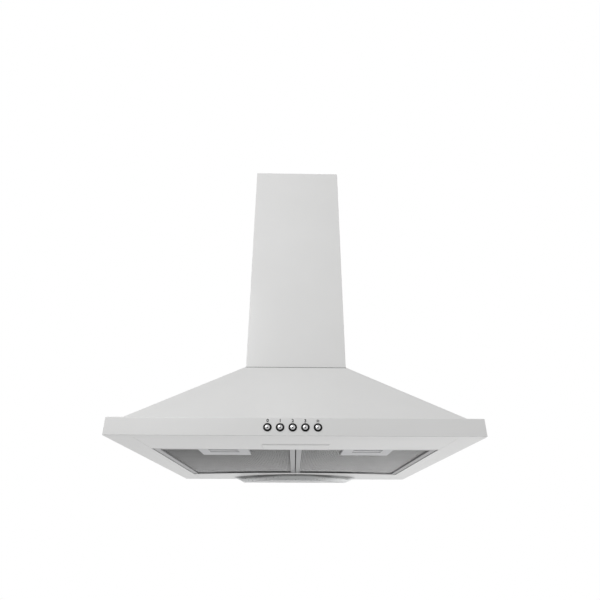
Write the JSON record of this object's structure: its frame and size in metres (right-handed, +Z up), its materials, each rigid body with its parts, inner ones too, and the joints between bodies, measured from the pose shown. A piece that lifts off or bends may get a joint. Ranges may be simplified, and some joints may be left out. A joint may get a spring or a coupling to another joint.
{
  "type": "chimney range hood",
  "caption": "Wall-mounted chimney range hood: pyramid canopy, telescopic chimney, hinged grease filters, lamp lens, push buttons and a centrifugal blower inside.",
  "frame": {"origin": "on the wall plane, midway between the two hanging slots of the back panel", "axes": "+X to the right as seen from the front, +Y towards the wall, +Z up"},
  "size_m": [0.6, 0.5027, 0.8489],
  "materials": {
    "white_paint": "satin",
    "zinc_sheet": "satin",
    "blower_plastic": "matt",
    "collar_plastic": "matt",
    "motor_alloy": "cast",
    "bright_steel": "bright",
    "filter_alloy": "satin",
    "mesh_alloy": "expanded sheet",
    "handle_grey": "matt",
    "lens_opal": "opal",
    "bulb_glass": "frosted glass",
    "cap_metal": "plated",
    "ceramic": "glazed",
    "black_plastic": "satin",
    "button_chrome": "bright",
    "box_plastic": "matt",
    "terminal_plastic": "translucent"
  },
  "bodies": {
    "hood": {"canopy_shell": "white_paint", "underside_front_panel": "white_paint", "underside_rear_panel": "white_paint", "switch_cover": "white_paint", "chimney_lower": "white_paint", "back_panel": "zinc_sheet", "motor_bracket": "zinc_sheet", "lamp_tray": "zinc_sheet", "switch_strap": "zinc_sheet", "blower_housing_left": "blower_plastic", "blower_housing_right": "blower_plastic", "inlet_ring": "blower_plastic", "duct_collar": "collar_plastic", "cable_gland": "collar_plastic", "motor_body": "motor_alloy", "capacitor": "motor_alloy", "flap_pin": "bright_steel", "blower_screws": "bright_steel", "lamp_bulbs": "bulb_glass", "lamp_caps": "cap_metal", "lamp_holders": "ceramic", "switch_body": "black_plastic", "button_bezels": "black_plastic", "junction_box": "box_plastic", "junction_lid": "box_plastic", "terminal_block": "terminal_plastic"},
    "chimney_upper": {"chimney_upper": "white_paint", "chimney_bracket": "zinc_sheet"},
    "fan": {"fan_wheel": "blower_plastic", "fan_blades": "blower_plastic", "motor_shaft": "bright_steel"},
    "flap_front": {"flap_front": "collar_plastic"},
    "flap_rear": {"flap_rear": "collar_plastic"},
    "filter_left": {"filter_rim_left": "filter_alloy", "filter_mesh_left": "mesh_alloy", "handle_cup_left": "handle_grey"},
    "filter_right": {"filter_rim_right": "filter_alloy", "filter_mesh_right": "mesh_alloy", "handle_cup_right": "handle_grey"},
    "latch_left": {"latch_slider_left": "handle_grey"},
    "latch_right": {"latch_slider_right": "handle_grey"},
    "lens": {"lamp_lens": "lens_opal"},
    "button_1": {"button_1": "button_chrome"},
    "button_2": {"button_2": "button_chrome"},
    "button_3": {"button_3": "button_chrome"},
    "button_4": {"button_4": "button_chrome"},
    "button_5": {"button_5": "button_chrome"}
  },
  "joints": [
    {"name": "chimney_slide", "type": "slide", "parent": "hood", "child": "chimney_upper", "axis": [0, 0, 1], "range_m": [0, 0.35]},
    {"name": "fan_spin", "type": "hinge", "parent": "hood", "child": "fan", "pos_m": [0, -0.16, -0.015], "axis": [1, 0, 0], "continuous": true},
    {"name": "flap_front_hinge", "type": "hinge", "parent": "hood", "child": "flap_front", "pos_m": [0, -0.12184, 0.0838], "axis": [-1, 0, 0], "range_deg": [0, 75]},
    {"name": "flap_rear_hinge", "type": "hinge", "parent": "hood", "child": "flap_rear", "pos_m": [0, -0.12184, 0.0838], "axis": [1, 0, 0], "range_deg": [0, 75]},
    {"name": "filter_left_hinge", "type": "hinge", "parent": "hood", "child": "filter_left", "pos_m": [0, -0.116, -0.1487], "axis": [1, 0, 0], "range_deg": [0, 75]},
    {"name": "filter_right_hinge", "type": "hinge", "parent": "hood", "child": "filter_right", "pos_m": [0, -0.116, -0.1487], "axis": [1, 0, 0], "range_deg": [0, 75]},
    {"name": "latch_left_slide", "type": "slide", "parent": "filter_left", "child": "latch_left", "axis": [0, 1, 0], "range_m": [0, 0.006], "stiffness_N_per_m": 200},
    {"name": "latch_right_slide", "type": "slide", "parent": "filter_right", "child": "latch_right", "axis": [0, 1, 0], "range_m": [0, 0.006], "stiffness_N_per_m": 200},
    {"name": "lens_hinge", "type": "hinge", "parent": "hood", "child": "lens", "pos_m": [0, -0.037, -0.153], "axis": [1, 0, 0], "range_deg": [0, 70]},
    {"name": "button_1_press", "type": "slide", "parent": "hood", "child": "button_1", "axis": [0, 1, 0], "range_m": [0, 0.003], "stiffness_N_per_m": 400},
    {"name": "button_2_press", "type": "slide", "parent": "hood", "child": "button_2", "axis": [0, 1, 0], "range_m": [0, 0.003], "stiffness_N_per_m": 400},
    {"name": "button_3_press", "type": "slide", "parent": "hood", "child": "button_3", "axis": [0, 1, 0], "range_m": [0, 0.003], "stiffness_N_per_m": 400},
    {"name": "button_4_press", "type": "slide", "parent": "hood", "child": "button_4", "axis": [0, 1, 0], "range_m": [0, 0.003], "stiffness_N_per_m": 400},
    {"name": "button_5_press", "type": "slide", "parent": "hood", "child": "button_5", "axis": [0, 1, 0], "range_m": [0, 0.003], "stiffness_N_per_m": 400}
  ]
}
